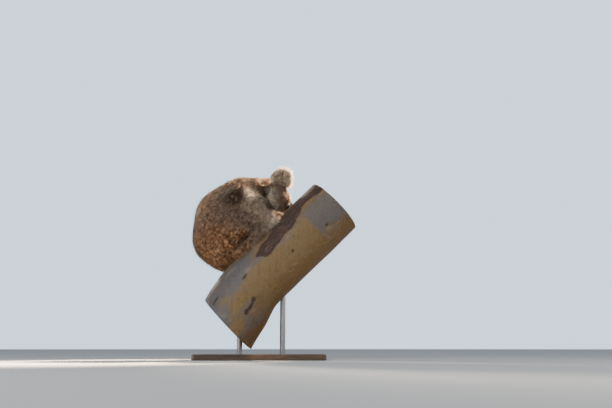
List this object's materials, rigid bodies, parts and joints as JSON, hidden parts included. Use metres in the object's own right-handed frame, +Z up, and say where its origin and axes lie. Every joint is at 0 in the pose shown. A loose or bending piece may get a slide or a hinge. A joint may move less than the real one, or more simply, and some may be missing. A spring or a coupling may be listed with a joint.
{
  "type": "life-size koala model on a perch",
  "caption": "Life-size koala curled up on a short cut length of leaning gum limb, held by two rods on a flat base.",
  "frame": {"origin": "middle of the base's underside", "axes": "+Z up, +X towards the side that the limb's upper end leans to, -Y towards the koala's right side"},
  "size_m": [0.7554, 0.3985, 0.8674],
  "materials": {
    "fur": "woolly grey-brown coat",
    "ear_fur": "long pale fringe over grey fur",
    "nose": "bare dark nose leather, finely pebbled",
    "eye": "wet brown iris with an upright slit pupil",
    "claw": "dark worn horn",
    "bark": "smooth shed gum bark, cream and grey, with a dark strip",
    "base_timber": "dark stained timber with a satin varnish",
    "rod_steel": "brushed"
  },
  "bodies": {
    "root": {"ear_left": "ear_fur", "ear_right": "ear_fur", "eye_left": "eye", "eye_right": "eye", "foot_left": "fur", "foot_left_claw_1": "claw", "foot_left_claw_2": "claw", "foot_left_claw_3": "claw", "foot_left_claw_4": "claw", "foot_right": "fur", "foot_right_claw_1": "claw", "foot_right_claw_2": "claw", "foot_right_claw_3": "claw", "foot_right_claw_4": "claw", "forearm_left": "fur", "forearm_right": "fur", "hand_left": "fur", "hand_left_claw_1": "claw", "hand_left_claw_2": "claw", "hand_left_claw_3": "claw", "hand_left_claw_4": "claw", "hand_left_claw_5": "claw", "hand_right": "fur", "hand_right_claw_1": "claw", "hand_right_claw_2": "claw", "hand_right_claw_3": "claw", "hand_right_claw_4": "claw", "hand_right_claw_5": "claw", "head": "fur", "neck": "fur", "nose": "nose", "perch_limb": "bark", "shin_left": "fur", "shin_right": "fur", "stand_base": "base_timber", "stand_rod_1": "rod_steel", "stand_rod_2": "rod_steel", "thigh_left": "fur", "thigh_right": "fur", "trunk": "fur", "upper_arm_left": "fur", "upper_arm_right": "fur"}
  },
  "joints": []
}
